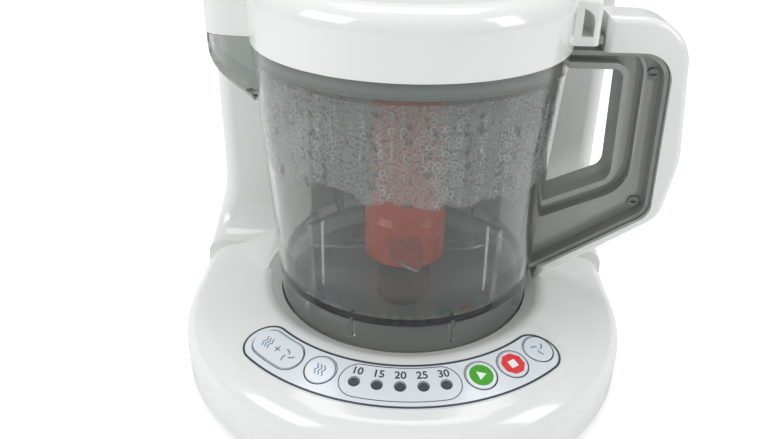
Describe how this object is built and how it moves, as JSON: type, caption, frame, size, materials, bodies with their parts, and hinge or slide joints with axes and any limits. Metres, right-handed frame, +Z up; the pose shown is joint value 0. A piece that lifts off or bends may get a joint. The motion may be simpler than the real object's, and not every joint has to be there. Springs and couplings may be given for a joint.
{
  "type": "baby food maker",
  "caption": "Countertop baby food maker: round base with a key panel, smoky steaming and blending jug with lid and blade, rear tower with motor, boiler and water tank.",
  "frame": {"origin": "on the surface that it stands on, under the middle of its outer box", "axes": "+Z up, +X to the user's right, towards the jug handle, +Y to the back, out of the cord inlet"},
  "size_m": [0.2281, 0.228, 0.205],
  "materials": {
    "white_shell": "gloss moulded ABS",
    "grey_plastic": "matt moulded",
    "soft_rubber": "matt",
    "screw_steel": "machined",
    "dark_plastic": "matt moulded",
    "panel_film": "printed film",
    "lens_clear": "frosted clear",
    "circuit_board": "lacquered laminate",
    "bronze": "sintered",
    "motor_steel": "zinc plated",
    "blade_steel": "ground",
    "cast_aluminium": "cast",
    "start_green": "printed",
    "stop_red": "printed",
    "smoky_clear": "moulded clear",
    "orange_plastic": "moulded"
  },
  "bodies": {
    "root": {"housing": "white_shell", "base_pan": "grey_plastic", "rubber_feet": "soft_rubber", "housing_screws": "screw_steel", "rear_cover": "white_shell", "cover_screws": "screw_steel", "cord_inlet": "dark_plastic", "control_panel": "panel_film", "led_lenses": "lens_clear", "control_board": "circuit_board", "tact_switches": "dark_plastic", "board_leds": "lens_clear", "board_screws": "screw_steel", "spindle_bushes": "bronze", "drive_belt": "soft_rubber", "motor_can": "motor_steel", "motor_bracket": "motor_steel", "well_seal": "soft_rubber", "tank_shelf": "grey_plastic", "boiler": "cast_aluminium", "boiler_stand": "grey_plastic", "thermostat": "dark_plastic", "water_hose": "soft_rubber", "steam_hose": "soft_rubber", "steam_nozzle": "soft_rubber", "power_board": "circuit_board", "board_bracket": "grey_plastic", "jug_switch": "dark_plastic"},
    "rotor": {"motor_rotor": "motor_steel", "small_pulley": "dark_plastic", "motor_fan": "dark_plastic"},
    "spindle": {"drive_spindle": "screw_steel", "large_pulley": "dark_plastic", "drive_coupling": "dark_plastic"},
    "steam_blend_button": {"steam_blend_key": "panel_film"},
    "steam_button": {"steam_key": "panel_film"},
    "start_button": {"start_key": "start_green"},
    "stop_button": {"stop_key": "stop_red"},
    "blend_button": {"blend_key": "panel_film"},
    "jug": {"jug_bowl": "smoky_clear", "handle_frame": "smoky_clear", "handle_cover": "white_shell", "handle_screws": "screw_steel", "jug_bushes": "bronze"},
    "blade": {"blade_shaft": "screw_steel", "jug_coupling": "dark_plastic", "blade_stem": "orange_plastic", "blades": "blade_steel"},
    "lid": {"lid_shell": "white_shell", "lid_plug": "smoky_clear", "lid_gasket": "soft_rubber", "lid_latch": "smoky_clear"},
    "cap": {"lid_cap": "white_shell"},
    "tank": {"water_tank": "smoky_clear", "tank_hinge_pin": "screw_steel", "tank_valve": "dark_plastic"},
    "tank_cover": {"tank_lid": "white_shell"}
  },
  "joints": [
    {"name": "motor_spin", "type": "hinge", "parent": "root", "child": "rotor", "pos_m": [0.0621, 0.078, 0], "axis": [0, 0, 1], "continuous": true},
    {"name": "spindle_spin", "type": "hinge", "parent": "root", "child": "spindle", "pos_m": [-0.0069, -0.007, 0], "axis": [0, 0, 1], "continuous": true},
    {"name": "blade_spin", "type": "hinge", "parent": "jug", "child": "blade", "pos_m": [-0.0069, -0.007, 0], "axis": [0, 0, 1], "continuous": true},
    {"name": "jug_lift", "type": "slide", "parent": "root", "child": "jug", "axis": [0, 0, 1], "range_m": [0, 0.12]},
    {"name": "lid_lift", "type": "slide", "parent": "jug", "child": "lid", "axis": [0, 0, 1], "range_m": [0, 0.05]},
    {"name": "cap_lift", "type": "slide", "parent": "lid", "child": "cap", "axis": [0, 0, 1], "range_m": [0, 0.02]},
    {"name": "tank_lift", "type": "slide", "parent": "root", "child": "tank", "axis": [0, 0, 1], "range_m": [0, 0.11]},
    {"name": "tank_lid_turn", "type": "hinge", "parent": "tank", "child": "tank_cover", "pos_m": [-0.0609, 0.0953, 0.203], "axis": [-1, 0, 0], "range_deg": [0, 80]},
    {"name": "steam_blend_press", "type": "slide", "parent": "root", "child": "steam_blend_button", "axis": [0.1771, 0.2023, -0.9632], "range_m": [0, 0.0005], "stiffness_N_per_m": 400},
    {"name": "steam_press", "type": "slide", "parent": "root", "child": "steam_button", "axis": [0.1115, 0.2447, -0.9632], "range_m": [0, 0.0005], "stiffness_N_per_m": 400},
    {"name": "start_press", "type": "slide", "parent": "root", "child": "start_button", "axis": [-0.1115, 0.2447, -0.9632], "range_m": [0, 0.0005], "stiffness_N_per_m": 400},
    {"name": "stop_press", "type": "slide", "parent": "root", "child": "stop_button", "axis": [-0.1581, 0.2176, -0.9632], "range_m": [0, 0.0005], "stiffness_N_per_m": 400},
    {"name": "blend_press", "type": "slide", "parent": "root", "child": "blend_button", "axis": [-0.1986, 0.1813, -0.9632], "range_m": [0, 0.0005], "stiffness_N_per_m": 400}
  ],
  "couplings": [
    {"joint": "spindle_spin", "follows": "motor_spin", "ratio": 0.33333},
    {"joint": "blade_spin", "follows": "motor_spin", "ratio": 0.33333}
  ]
}
